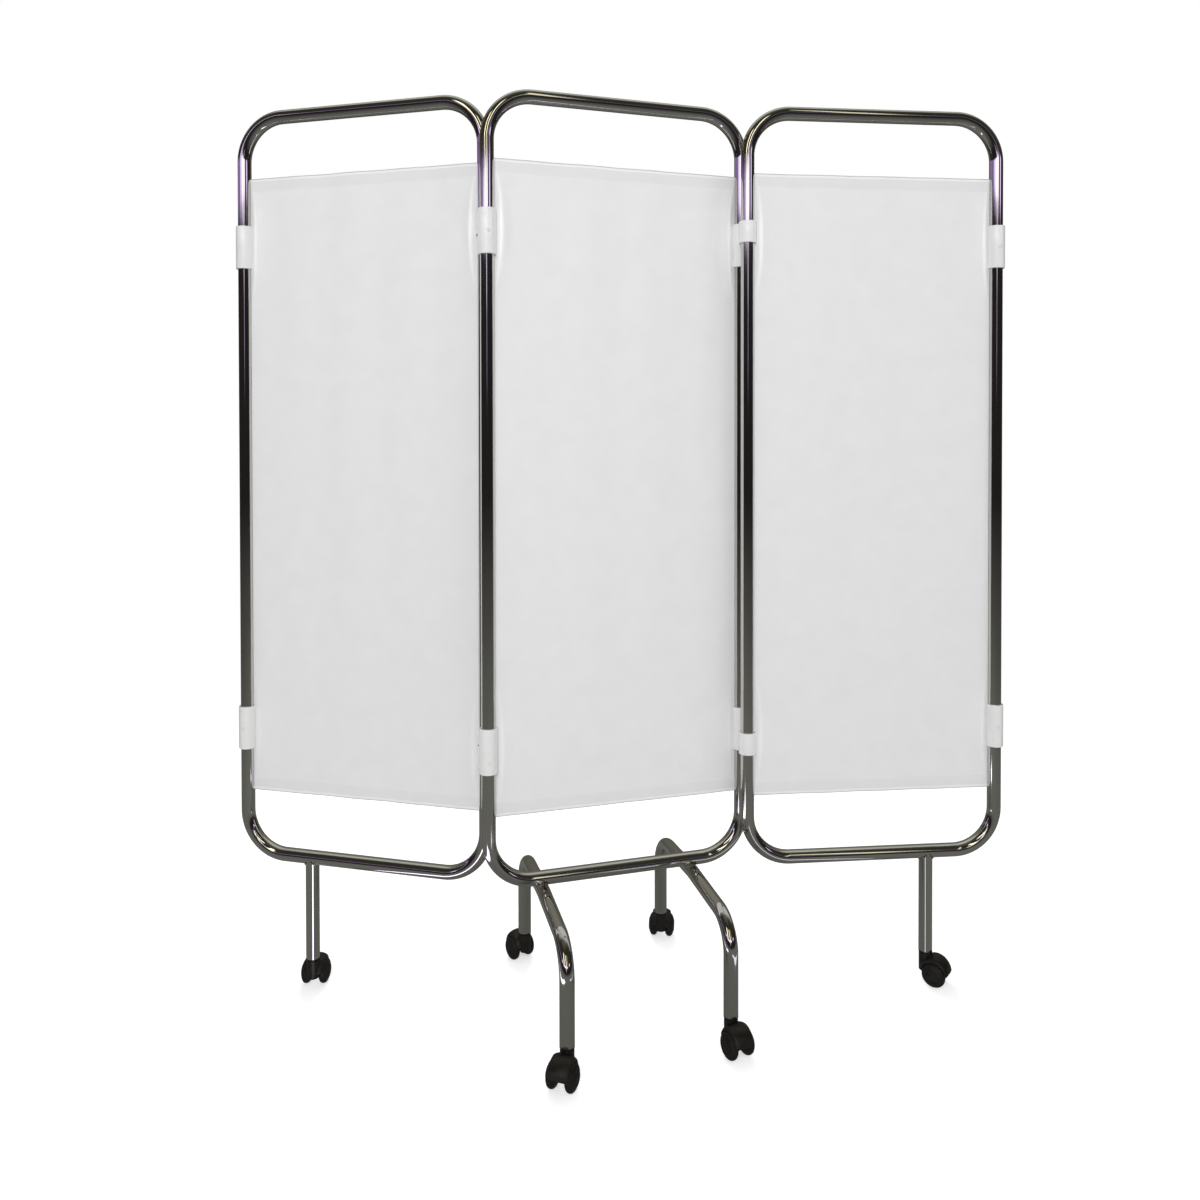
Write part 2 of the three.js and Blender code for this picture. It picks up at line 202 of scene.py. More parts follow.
# Each finish has two tones, clouds that mix them as (scale, detail, stretch), the roughness between
# those clouds, a grain of noise or cells, or else the clouds, with the depth and strength of its
# bump, and what is set on the shader itself. Dust has a tone, its share of the surface and where it
# begins in the grain. Marks are tones painted where the mesh says so: the vinyl's white mark is a
# painted highlight and its grey mark is painted shade
black = {
    "cloud": (120, 5), "grain": (900, 3),
    "dust": (0.027, 0.024, 0.021), "dustSpread": (0.35, 0.58, 0.75),
}
finishes = {
    "chrome": {
        "name": "chrome_plate", "tones": ((0.66, 0.65, 0.62), (0.60, 0.59, 0.56)),
        "cloud": (9, 3, (1, 1, 0.5)), "roughness": (0.045, 0.085),
        "grain": (16, 1), "bump": (0.0004, 0.25), "shader": {"Metallic": 1.0},
    },
    "weld": {
        "name": "chromed_weld", "tones": ((0.5, 0.48, 0.43), (0.3, 0.28, 0.25)),
        "cloud": (520, 4), "roughness": (0.16, 0.34),
        "bump": (0.0003, 0.8), "shader": {"Metallic": 1.0},
    },
    "vinyl": {
        "name": "white_vinyl", "tones": ((0.832, 0.832, 0.837), (0.808, 0.808, 0.816)),
        "cloud": (26, 5), "roughness": (0.38, 0.46), "cells": 900, "bump": (0.00008, 0.5),
        # White is a painted highlight on creases and the hem's turn; grey is painted shade along the edge and
        # hem strip
        "marks": {"creaseAndHighlight": (1, 1, 1), "edgeShade": (0.46, 0.46, 0.46)},
        "shader": {"Specular_IOR_Level": 0.42, "Sheen_Weight": 0.08, "Sheen_Roughness": 0.5},
    },
    "clip": {
        "name": "white_moulding", "tones": ((0.85, 0.85, 0.846), (0.83, 0.83, 0.824)),
        "cloud": (70, 3), "roughness": (0.16, 0.22), "grain": (900, 2), "bump": (0.00001, 0.4),
        "shader": {"Coat_Weight": 1.0, "Coat_Roughness": 0.05},
    },
    "hood": {
        "name": "black_hood", "tones": ((0.005, 0.0035, 0.0025), (0.012, 0.0095, 0.0075)),
        "roughness": (0.34, 0.50), "bump": (0.00005, 0.5), **black,
    },
    "wheel": {
        "name": "black_wheel", "tones": ((0.005, 0.004, 0.003), (0.011, 0.009, 0.0075)),
        "roughness": (0.46, 0.62), "bump": (0.00008, 0.5), **black,
    },
    "rivet": {
        "name": "painted_rivet", "tones": ((0.83, 0.83, 0.825), (0.79, 0.79, 0.785)),
        "cloud": (300, 3), "roughness": (0.16, 0.26),
        "bump": (0.00003, 0.4), "shader": {"Coat_Weight": 0.5},
    },
    "steel": {
        "name": "zinc_steel", "tones": ((0.62, 0.62, 0.6), (0.46, 0.46, 0.45)),
        "cloud": (700, 3, (1, 1, 0.15)), "roughness": (0.2, 0.36),
        "bump": (0.00004, 0.5), "shader": {"Metallic": 1.0},
    },
}


def makeMaterial(look):
    nodes = Nodes(bpy.data.materials.new(look["name"]))
    cloud = nodes.noise(*look["cloud"])
    tone = nodes.mix(nodes.spread(cloud, 0, 1), *look["tones"])
    grain = nodes.noise(*look["grain"]) if "grain" in look else cloud
    if "cells" in look:
        grain = nodes.cells(look["cells"])
    if "dust" in look:
        tone = nodes.mix(nodes.spread(grain, 0, *look["dustSpread"]), tone, look["dust"])
    for mark, colour in look.get("marks", {}).items():
        tone = nodes.mix(nodes.mark(mark).outputs["Fac"], tone, colour)
    return nodes.finish(
        Base_Color=tone, Roughness=nodes.spread(cloud, *look["roughness"]),
        Normal=nodes.bump(grain, *look["bump"]), **look.get("shader", {}))


materials = {name: makeMaterial(look) for name, look in finishes.items()}
print("materials ready")


# Mesh building

# Distance at which points join, radius of a point on an axis, and where a bevel's middle step lies
# as a share of its edge
meshSizes = {"join": 1e-7, "tip": 1e-6, "bevelShare": 0.3}


# Vertices and faces of one piece, placed by a matrix as they are added
class Builder:
    def __init__(self, place):
        self.points = []
        self.faces = []
        self.place = place
        self.marks = {}

    def ring(self, points):
        start = len(self.points)
        self.points.extend(self.place @ Vector(point) for point in points)
        return list(range(start, len(self.points)))

    def bridge(self, first, second, closed=True):
        count = len(first)
        for i in range(count if closed else count - 1):
            j = (i + 1) % count
            self.faces.append((first[i], first[j], second[j], second[i]))

    def loft(self, rings, closedLoop=False):
        made = [self.ring(points) for points in rings]
        for first, second in zip(made, made[1:]):
            self.bridge(first, second)
        if closedLoop:
            self.bridge(made[-1], made[0])
        return made

    def cap(self, ring):
        self.faces.append(tuple(ring))

    # Lofts the rings and closes both ends
    def solid(self, rings):
        made = self.loft(rings)
        self.cap(made[0])
        self.cap(made[-1])

    def build(self, name, material, body, replaced=(), slot=None, smoothAngle=40):
        mesh = bpy.data.meshes.new(name)
        mesh.from_pydata([tuple(point) for point in self.points], [], self.faces)
        for mark, values in self.marks.items():
            mesh.attributes.new(mark, "FLOAT", "POINT").data.foreach_set("value", values)
        work = bmesh.new()
        work.from_mesh(mesh)
        bmesh.ops.remove_doubles(work, verts=work.verts, dist=meshSizes["join"])
        bmesh.ops.recalc_face_normals(work, faces=work.faces)
        work.to_mesh(mesh)
        work.free()
        for face in mesh.polygons:
            face.use_smooth = True
        mesh.set_sharp_from_angle(angle=math.radians(smoothAngle))
        mesh.materials.append(materials[material])
        piece = addObject(name, mesh)
        if replaced:
            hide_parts(*replaced)
        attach(piece, body)
        return piece


def circle(radius, height, sides):
    step = 2 * math.pi / sides
    return [(radius * math.cos(i * step), radius * math.sin(i * step), height) for i in range(sides)]


# Revolves a closed profile of (radius, height) about Z; radius zero closes on the axis
def turned(place, profile, sides):
    builder = Builder(place)
    rings = [circle(max(radius, meshSizes["tip"]), height, sides) for radius, height in profile]
    builder.loft(rings, closedLoop=profile[0][0] > 0)
    return builder


# Heights up a bevelled body and how far its outline draws in there, as (height, inset)
def bevelledLevels(low, high, edge, steps=1):
    small = edge * meshSizes["bevelShare"]
    levels = [(low, edge), (low + small, small)]
    for i in range(steps + 1):
        levels.append((low + edge + (high - low - 2 * edge) * i / steps, 0))
    return levels + [(high - small, small), (high, edge)]


# Rounds the corners of a closed outline; a radius of zero keeps one sharp
def roundedCorners(corners, radii, steps=5):
    outline = []
    count = len(corners)
    for i, radius in enumerate(radii):
        before, at, after = (Vector(corners[(i + k) % count]) for k in (-1, 0, 1))
        if radius == 0:
            outline.append(at)
            continue
        inward = (at - before).normalized()
        outward = (after - at).normalized()
        turn = inward.angle_signed(outward)
        reach = radius * math.tan(abs(turn) / 2)
        start = at - inward * reach
        end = at + outward * reach
        for k in range(steps + 1):
            t = k / steps
            outline.append(start * (1 - t) ** 2 + at * 2 * t * (1 - t) + end * t ** 2)
    return [(point.x, point.y) for point in outline]


# Points and directions of a bent route in the XZ plane, each bend an arc
def bentStations(corners, radius):
    stations = []
    at = [Vector(corner) for corner in corners]
    stations.append((at[0], (at[1] - at[0]).normalized()))
    for i in range(1, len(at) - 1):
        inward = (at[i] - at[i - 1]).normalized()
        outward = (at[i + 1] - at[i]).normalized()
        turn = -inward.angle_signed(outward)
        reach = radius * math.tan(abs(turn) / 2)
        side = Vector((-inward.y, inward.x)) * math.copysign(radius, turn)
        centre = at[i] - inward * reach + side
        count = max(2, round(tubeSizes["bendSteps"] * abs(turn) / (math.pi / 2)))
        for k in range(count + 1):
            rotation = Matrix.Rotation(turn * k / count, 2)
            stations.append((centre - rotation @ side, rotation @ inward))
    stations.append((at[-1], (at[-1] - at[-2]).normalized()))
    return stations


# A ring square to a station of a route in the XZ plane
def tubeRing(station, radius=tubeSizes["radius"]):
    point, direction = station
    sides = tubeSizes["sides"]
    ring = []
    for i in range(sides):
        angle = 2 * math.pi * i / sides
        out, across = radius * math.cos(angle), radius * math.sin(angle)
        ring.append((point.x - direction.y * out, across, point.y + direction.x * out))
    return ring


# Closes a tube's end with its wall and a short bore; inwards is +1 where the bore runs forwards
def openEnd(builder, station, outerRing, inwards):
    sizes = tubeSizes
    point, direction = station
    lip, bore = sizes["radius"] - sizes["endRound"], sizes["radius"] - sizes["wall"]
    deep = point + direction * sizes["boreDepth"] * inwards
    outline = ((point, lip), (point, bore), (deep, bore))
    made = builder.loft([tubeRing((place, direction), radius) for place, radius in outline])
    builder.bridge(outerRing, made[0])
    builder.cap(made[-1])


# Tube frames

def addFrame(panel):
    half = postSpan / 2
    low = tubeSizes["barHeight"]
    high = low + tubeSizes["frameHeight"]
    corners = [(0, high), (half, high), (half, low), (-half, low), (-half, high), (0, high)]
    stations = bentStations(corners, tubeSizes["cornerRadius"])[:-1]
    builder = Builder(panelPlaces[panel])
    builder.loft([tubeRing(station) for station in stations], closedLoop=True)
    builder.build(panel + "_tube_frame", "chrome", panel + "_panel", [panel + "_frame"], "chrome")


# Legs

def addSideLeg(panel):
    sizes = tubeSizes
    bar, seat = sizes["barHeight"], sizes["radius"] + sizes["seat"]
    low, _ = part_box(panel + "_leg")
    place = footPlace(panel + "_leg") @ panelPlaces[panel].to_3x3().to_4x4()
    builder = Builder(place)
    upright = Vector((0, 1))
    first = builder.ring(tubeRing((Vector((0, low.z + sizes["endRound"])), upright)))
    openEnd(builder, (Vector((0, low.z)), upright), first, 1)
    ring = tubeRing((Vector((0, bar)), upright))
    saddle = builder.ring([(x, y, bar - math.sqrt(seat ** 2 - y ** 2)) for x, y, _ in ring])
    builder.bridge(first, saddle)
    builder.build(panel + "_leg_tube", "chrome", panel + "_panel", [panel + "_leg"], "chrome")
    addSaddleWeld(panel, place)


def addArchLeg(side):
    sizes = tubeSizes
    low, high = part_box(side + "_arch_leg")
    half = (high.y - low.y) / 2 - sizes["radius"]
    crown = sizes["barHeight"] - 2 * sizes["radius"] - sizes["seat"]
    bend = crown - half * math.tan(sizes["archSlope"])
    corners = [(-half, low.z), (-half, bend), (0, crown), (half, bend), (half, low.z)]
    stations = bentStations(corners, sizes["archBendRadius"])
    place = footPlace(side + "_arch_leg") @ Matrix.Rotation(math.pi / 2, 4, "Z")
    builder = Builder(place)
    inset = sizes["endRound"]
    first, last = stations[0], stations[-1]
    stations[0] = (first[0] + first[1] * inset, first[1])
    stations[-1] = (last[0] - last[1] * inset, last[1])
    rings = builder.loft([tubeRing(station) for station in stations])
    openEnd(builder, first, rings[0], 1)
    openEnd(builder, last, rings[-1], -1)
    builder.build(side + "_arch_tube", "chrome", "middle_panel", [side + "_arch_leg"], "chrome")
    addCrownWeld(side, place, crown)


# A saddle bead lies this share of the tube's radius out and this share of its own down; a crown
# bead is an arc beside the tube's top, bent by its curve and drawn to a point at both ends
weldSizes = {
    "bead": 0.0017, "ripple": 0.00035, "sides": 10,
    "saddleSteps": 96, "saddleRipples": 17, "saddleOut": 1.02, "saddleDown": 0.45,
    "crownSteps": 24, "crownRipple": 1.7, "crownAside": 0.0042, "crownHalfLength": 0.0075,
    "crownDown": 0.0008, "crownCurve": 22, "crownPoint": 0.02,
}


# A ring of a bead round its centre, in the upright plane of a direction across the bead
def beadRing(centre, across, bead):
    return [centre + across * x + Vector((0, 0, z)) for x, z, _ in circle(bead, 0, weldSizes["sides"])]


# A rippled bead where a straight leg meets the bar
def addSaddleWeld(panel, place):
    sizes = weldSizes
    radius, bar = tubeSizes["radius"], tubeSizes["barHeight"]
    rings = []
    for i in range(sizes["saddleSteps"]):
        angle = 2 * math.pi * i / sizes["saddleSteps"]
        x, y = radius * math.cos(angle), radius * math.sin(angle)
        z = bar - math.sqrt(max(radius ** 2 - y ** 2, 0)) - sizes["bead"] * sizes["saddleDown"]
        bead = sizes["bead"] + sizes["ripple"] * math.sin(angle * sizes["saddleRipples"])
        outward = Vector((math.cos(angle), math.sin(angle), 0))
        rings.append(beadRing(Vector((x * sizes["saddleOut"], y * sizes["saddleOut"], z)), outward, bead))
    builder = Builder(place)
    builder.loft(rings, closedLoop=True)
    builder.build(panel + "_leg_weld", "weld", panel + "_panel", slot="chrome")


# Two short beads along the crown where it touches the bar above
def addCrownWeld(side, place, crown):
    sizes = weldSizes
    builder = Builder(place)
    top = crown + tubeSizes["radius"] + tubeSizes["seat"] / 2 - sizes["crownDown"]
    for front in (-1, 1):
        rings = []
        for i in range(sizes["crownSteps"] + 1):
            t = i / sizes["crownSteps"] * 2 - 1
            along = t * sizes["crownHalfLength"]
            bead = sizes["bead"] + sizes["ripple"] * math.sin(i * sizes["crownRipple"])
            bead *= math.sqrt(max(1 - t * t, sizes["crownPoint"]))
            centre = Vector((front * sizes["crownAside"], along, top - along ** 2 * sizes["crownCurve"]))
            rings.append(beadRing(centre, Vector((1, 0, 0)), bead))
        builder.solid(rings)
    builder.build(side + "_arch_weld", "weld", "middle_panel", slot="chrome")


# Moulded clips

clipSizes = {
    "radius": 0.016, "bore": 0.0128, "height": 0.080, "slit": 0.0009,
    "edge": 0.0014, "boreEdgeShare": 0.3, "sides": 72,
    "web": 0.011, "webClear": 0.0012, "webWaist": 0.0016, "webEdgeShare": 0.7,
    "webShort": 0.0008, "webSteps": 8,
}
clipLevels = {"top": True, "bottom": False}


# A barrel round a post; with a slit it is open where the sheet's edge goes in
def addBarrel(builder, height, centre, slitTowards=0):
    sizes = clipSizes
    bore, radius, end = sizes["bore"], sizes["radius"], height / 2
    edge, small = sizes["edge"], sizes["edge"] * sizes["boreEdgeShare"]
    profile = roundedCorners(
        [(bore, -end), (radius, -end), (radius, end), (bore, end)], [small, edge, edge, small])
    half = math.asin(sizes["slit"] / bore) if slitTowards else 0
    start = (0 if slitTowards > 0 else math.pi) + half
    sweep = 2 * math.pi - 2 * half
    count = sizes["sides"]
    east, north, middle = centre
    rings = []
    for i in range(count + 1 if slitTowards else count):
        angle = start + sweep * i / count
        across, along = math.cos(angle), math.sin(angle)
        rings.append([(east + r * across, north + r * along, middle + z) for r, z in profile])
    if slitTowards:
        builder.solid(rings)
    else:
        builder.loft(rings, closedLoop=True)


# The moulded bridge between the two barrels, waisted in plan and rounded along its edges
def addWeb(builder, spacing, middle, height):
    sizes = clipSizes
    near = sizes["bore"] + sizes["webClear"]
    reach = abs(spacing) - 2 * near
    steps = sizes["webSteps"]
    rings = []
    for z, inset in bevelledLevels(-height / 2, height / 2, sizes["edge"] * sizes["webEdgeShare"]):
        ring = []
        for side in (1, -1):
            for k in range(steps + 1):
                t = k / steps if side > 0 else 1 - k / steps
                waist = sizes["web"] - sizes["webWaist"] * math.sin(math.pi * t) - inset
                ring.append((side * waist, math.copysign(near + reach * t, spacing), middle + z))
        rings.append(ring)
    builder.solid(rings)


rivetSizes = {
    "radius": 0.0033, "sink": 0.0006, "rim": 0.0002, "rise": 0.0016, "dome": 0.94,
    "sides": 28, "steps": 8,
}
rivetDrops = {"left_bottom": -0.018}


# A domed rivet head on the front of a clip, whose own place has the post along Z
def addRivet(name, place, body, drop=0):
    sizes = rivetSizes
    radius, sink, rim, steps = sizes["radius"], sizes["sink"], sizes["rim"], sizes["steps"]
    front = place @ Matrix.Translation((0, -clipSizes["radius"], drop)) @ Matrix.Rotation(math.pi / 2, 4, "X")
    profile = [(0, -sink), (radius, -sink), (radius, rim)]
    for k in range(1, steps + 1):
        angle = math.pi / 2 * k / steps
        profile.append((radius * sizes["dome"] * math.cos(angle), rim + sizes["rise"] * math.sin(angle)))
    profile.append((0, rim + sizes["rise"]))
    turned(front, profile, sizes["sides"]).build(name, "rivet", body, slot="steel")


# Matrix of the post on one side of a frame, at the height of a clip's middle
def clipPlace(panel, side, node):
    low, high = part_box(node)
    return panelPlaces[panel] @ Matrix.Translation((side * postSpan / 2, 0, (low.z + high.z) / 2))


def addOuterClip(panel, level):
    clip = f"{panel}_{level}_outer"
    side = panelSides[panel]
    post = clipPlace(panel, side, clip + "_clip")
    builder = Builder(post)
    addBarrel(builder, clipSizes["height"], (0, 0, 0), -side)
    builder.build(clip + "_moulding", "clip", panel + "_panel", [clip + "_clip"], "clip_plastic")
    addRivet(clip + "_rivet", post, panel + "_panel")


def addHingeClip(panel, level):
    clip = f"{panel}_{level}_hinge"
    side = panelSides[panel]
    spacing = -side * postSpacing
    post = clipPlace("middle", side, clip + "_clip")
    height = clipSizes["height"]
    middle = height / 4 if clipLevels[level] else -height / 4
    builder = Builder(post)
    addBarrel(builder, height, (0, 0, 0), -side)
    addBarrel(builder, height / 2, (0, spacing, middle))
    addWeb(builder, spacing, middle, height / 2 - clipSizes["webShort"])
    builder.build(clip + "_moulding", "clip", "middle_panel", [clip + "_clip"], "clip_plastic")
    addRivet(clip + "_rivet", post, "middle_panel", rivetDrops.get(f"{panel}_{level}", 0))


# Sheets

sheetSizes = {
    "belowTopBar": 0.112, "aboveBottomBar": 0.118, "edge": 0.0128, "thickness": 0.0009,
    "columns": 170, "rows": 150, "rowsClear": 0.003,
    "foldDepth": 0.0014, "foldPitch": 0.118, "rumpleClear": 0.02,
    "hem": 0.024, "hemStep": 0.001, "hemRise": 0.00035, "hemShade": 0.09,
    # The hem's turned edge carries a painted highlight, with its breadth and strength given here
    "hemTurn": 0.004, "turnHighlightWidth": 0.001, "turnRow": 1.6, "hemTurnHighlight": 0.55,
    # A strip along the sheet's very edge is painted in shade, this wide
    "edgeShade": 0.0011, "edgeShadeRows": (0.9, 1.3),
    # The crease's width here is the breadth of the painted highlight along each ridge
    "creaseReach": 0.011, "creaseGap": 0.0015, "creaseHeight": 0.0046, "creaseHighlightWidth": 0.0034,
    "creaseHalfLength": 0.110, "creaseBelowTop": 0.120,
    "creaseFade": 0.016, "creaseSwell": 0.8, "creaseCurve": 1.6,
    "knuckleClear": 0.0168, "knuckleEnd": 0.001,
}
# How strong the pulled crease and its painted highlight are beside each post, at the top and at the bottom
# clip
creaseStrengths = {"left": (1.0, 0.3), "middle": (1.0, 0.35), "right": (1.0, 0.45)}
# Waves for each metre across and up, how far they differ from panel to panel, and their depth
rumpleWaves = [
    {"across": 11, "up": 2.2, "shift": 7.3, "layers": 3.1, "start": 0, "depth": 0.0012},
    {"across": 34, "up": 5.0, "shift": 3.7, "layers": 5.9, "start": 2, "depth": 0.0004},
]


def foldOffset(x, z, side):
    sizes = sheetSizes
    half = postSpan / 2
    middle = tubeSizes["barHeight"] + tubeSizes["frameHeight"] / 2
    fromPost = (1 - (x / half) ** 2) ** 2
    towardsTop = 0.5 + (z - middle) / tubeSizes["frameHeight"]
    fold = math.cos(2 * math.pi * (x / sizes["foldPitch"] + side / 3))
    return sizes["foldDepth"] * fromPost * fold * (0.5 + towardsTop / 2)


# Lens-shaped ridge lines beside the posts where the clips pull the sheet's edge: for a place on
# the sheet, its offset and how strongly the ridge's painted highlight lightens its colour there
def creaseAndHighlight(fromPost, fromEnd, strength):
    sizes = sheetSizes
    along = (fromEnd - sizes["creaseBelowTop"]) / sizes["creaseHalfLength"]
    if abs(along) >= 1:
        return 0, 0
    swell = math.cos(along * math.pi / 2) ** sizes["creaseSwell"]
    ridge = sizes["creaseReach"] * swell + sizes["creaseGap"]
    height = sizes["creaseHeight"] * swell * strength
    # Painted highlight: a pale band along the ridge, painted into the sheet's colour
    highlight = math.exp(-((fromPost - ridge) / sizes["creaseHighlightWidth"]) ** 2) * swell * strength
    if fromPost < ridge:
        return -height * (fromPost / ridge) ** sizes["creaseCurve"], highlight
    fade = (fromPost - ridge) / sizes["creaseFade"]
    return -height * math.exp(-fade * fade * sizes["creaseCurve"]), highlight


# Small irregular waves, stretched upright
def rumple(x, z, side):
    offset = 0
    for wave in rumpleWaves:
        layer = side * wave["layers"] + wave["start"]
        spot = Vector((x * wave["across"] + side * wave["shift"], z * wave["up"], layer))
        offset += wave["depth"] * noise.noise(spot)
    return offset


# Column places across a sheet, closer together near its edges
def evenColumns(width):
    count = sheetSizes["columns"]
    places = []
    for i in range(count + 1):
        t = i / count * 2 - 1
        places.append(width / 2 * (0.5 * t + 0.5 * math.sin(t * math.pi / 2)))
    return places


# Row heights up a sheet, with close ones for the hem, its painted highlight at the turn and the painted shade
# along the edge, at both ends
def rowHeights(low, high):
    sizes = sheetSizes
    hem, turn = sizes["hem"], sizes["hemTurn"]
    near = [0] + [sizes["edgeShade"] * share for share in sizes["edgeShadeRows"]]
    near += [turn, turn * sizes["turnRow"], hem - sizes["hemStep"], hem + sizes["hemStep"]]
    count = sizes["rows"]
    start, end = low + near[-1] + sizes["rowsClear"], high - near[-1] - sizes["rowsClear"]
    inner = [start + (end - start) * j / count for j in range(count + 1)]
    return [low + step for step in near] + inner + [high - step for step in reversed(near)]


# Heights between which a hinge clip's knuckle takes up room beside a side panel's post
def knuckleSpans(panel):
    clear = sheetSizes["knuckleEnd"]
    spans = []
    for level, upper in clipLevels.items():
        low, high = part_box(f"{panel}_{level}_hinge_clip")
        middle = (low.z + high.z) / 2
        spans.append((middle - clear, high.z + clear) if upper else (low.z - clear, middle + clear))
    return spans


# Moves the inner edge of a side sheet clear of a knuckle at this height
def sheetEdge(x, z, side, knuckles):
    if side == 0:
        return x
    inner = -side * postSpan / 2
    for low, high in knuckles:
        if low < z < high and abs(x - inner) < sheetSizes["knuckleClear"]:
            return inner + side * sheetSizes["knuckleClear"]
    return x


# Painted highlight along the hem's turned edge or the crease, then painted shade along the very edge and over
# the hem's strip
def hemMarks(fromEnd, highlight):
    sizes = sheetSizes
    # Painted shade along the sheet's very edge, where the fold lies in shadow
    if fromEnd < sizes["edgeShade"]:
        return highlight, 1
    # Painted highlight along the hem's turned edge
    if abs(fromEnd - sizes["hemTurn"]) < sizes["turnHighlightWidth"]:
        return max(highlight, sizes["hemTurnHighlight"]), 0
    # Painted shade over the hem's strip
    return highlight, sizes["hemShade"] if sizes["hemTurn"] < fromEnd < sizes["hem"] else 0


def addSheet(panel):
    sizes = sheetSizes
    side = panelSides[panel]
    low = tubeSizes["barHeight"] + sizes["aboveBottomBar"]
    high = tubeSizes["barHeight"] + tubeSizes["frameHeight"] - sizes["belowTopBar"]
    width = postSpan - 2 * sizes["edge"]
    knuckles = knuckleSpans(panel) if side else []
    columns = evenColumns(width)
    builder = Builder(panelPlaces[panel])
    layers = []
    marks = []
    atTop, atBottom = creaseStrengths[panel]
    for face in (-1, 1):
        rows = []
        for z in rowHeights(low, high):
            ring = []
            fromEnd = min(z - low, high - z)
            for x in columns:
                placed = sheetEdge(x, z, side, knuckles)
                fromPost = postSpan / 2 - abs(x) - tubeSizes["radius"]
                # The crease's offset is real shape; the second value is its painted highlight
                pulled, highlight = creaseAndHighlight(fromPost, fromEnd, atTop if high - z < z - low else atBottom)
                loose = min(1, fromPost / sizes["rumpleClear"])
                offset = foldOffset(x, z, side) + pulled + rumple(x, z, side) * loose
                hem = sizes["hemRise"] if fromEnd < sizes["hem"] else 0
                ring.append((placed, offset + face * (sizes["thickness"] / 2 + hem), z))
                marks.append(hemMarks(fromEnd, min(1, highlight)))
            rows.append(builder.ring(ring))
        layers.append(rows)
    front, back = layers
    for rows in layers:
        for first, second in zip(rows, rows[1:]):
            builder.bridge(first, second, closed=False)
    for end in (0, -1):
        builder.bridge(front[end], back[end], closed=False)
        builder.bridge([row[end] for row in front], [row[end] for row in back], closed=False)
    body = panel + "_panel"
    # The first mark is painted highlight, the second painted shade
    builder.marks = {"creaseAndHighlight": [mark[0] for mark in marks], "edgeShade": [mark[1] for mark in marks]}
    piece = builder.build(panel + "_vinyl_sheet", "vinyl", body, [panel + "_sheet"], "vinyl", smoothAngle=60)


# Castors

castorSizes = {
    "wheelRadius": 0.0215, "wheelWidth": 0.0195, "wheelRoundness": 2.4, "wheelSteps": 14,
    "faceShare": 0.52, "rimStep": 0.0003, "dishDepth": 0.0016, "dishSlope": 0.0010, "dishEdge": 0.0005,
    "capFoot": 0.0064, "capRadius": 0.0056, "capDepth": 0.0006,
    "webWidth": 0.0118, "hubRadius": 0.011, "hubWall": 0.0022, "running": 0.0008, "fit": 0.0003,
    "hoodRadius": 0.028, "hoodHalfWidth": 0.018, "hoodSpread": 0.0275, "hoodRoundness": 2.6,
    "hoodRise": 1.12, "hoodTop": 0.0539, "skirt": 0.007, "lining": 0.0001, "edge": 0.0005,
    "hoodSteps": 56, "sectionSteps": 16,
    "bossRadius": 0.0118, "bossFoot": 0.020, "bossEdge": 0.0008, "socketDepth": 0.0075,
    "bossSteps": 24, "bossSides": 40, "webSides": 8,
    "pintleRadius": 0.005, "pintleChamfer": 0.0015, "axleRadius": 0.003, "axleChamfer": 0.0006,
    "plugFit": 0.0004, "plugFlange": 0.0024, "plugEdges": (0.0003, 0.0008, 0.0004, 0, 0.0006, 0.0003),
    "pinSides": 32, "cornerSteps": 4, "sides": 72,
}


# Radius of a round-shouldered section at a distance from its middle
def shoulder(radius, across, spread, roundness):
    return radius * max(0, 1 - abs(across / spread) ** roundness) ** (1 / roundness)


# A wheel's (distance from its inner face, radius) points from face to face
def wheelSection():
    sizes = castorSizes
    half, steps = sizes["wheelWidth"] / 2, sizes["wheelSteps"]
    points = []
    for i in range(-steps, steps + 1):
        across = half * math.sin(math.pi / 2 * i / steps)
        radius = shoulder(sizes["wheelRadius"], across, half, sizes["wheelRoundness"])
        if radius > sizes["faceShare"] * sizes["wheelRadius"]:
            points.append((half + across, radius))
    return points


# A castor's wheel axle in the castor's own axes
def castorAxis(name):
    swivel, axle = castorPoints(name)
    return Vector(((axle.xy - swivel.xy).length, 0, axle.z))


# Matrix whose Z runs along a castor's axle, outwards on the given side
def alongAxle(name, side=1):
    place = castorPlaces[name] @ Matrix.Translation(castorAxis(name))
    return place @ Matrix.Rotation(-side * math.pi / 2, 4, "X")


def addWheel(name, letter, side):
    sizes = castorSizes
    start = (sizes["webWidth"] + sizes["running"]) / 2
    end = start + sizes["wheelWidth"]
    bore = sizes["axleRadius"] + sizes["fit"]
    face = sizes["faceShare"] * sizes["wheelRadius"]
    deep, cap, edge = end - sizes["dishDepth"], end - sizes["capDepth"], sizes["dishEdge"]
    tread = [(radius, start + across) for across, radius in wheelSection()]
    dish = roundedCorners(
        [(face, end - sizes["rimStep"]), (face - sizes["dishSlope"], deep),
         (sizes["capFoot"], deep), (sizes["capRadius"], cap), (0, cap)],
        [0, edge, edge, edge, 0], sizes["cornerSteps"])
    boreEnd = end - sizes["hubWall"]
    hole = [(0, boreEnd), (bore, boreEnd), (bore, start), (face, start)]
    builder = turned(alongAxle(name, side), hole + tread + dish, sizes["sides"])
    wheel, node = f"{name}_wheel_{letter}", f"{name}_castor_wheel_{letter}"
    builder.build(wheel + "_moulding", "wheel", wheel, [node], "wheel_plastic", smoothAngle=50)


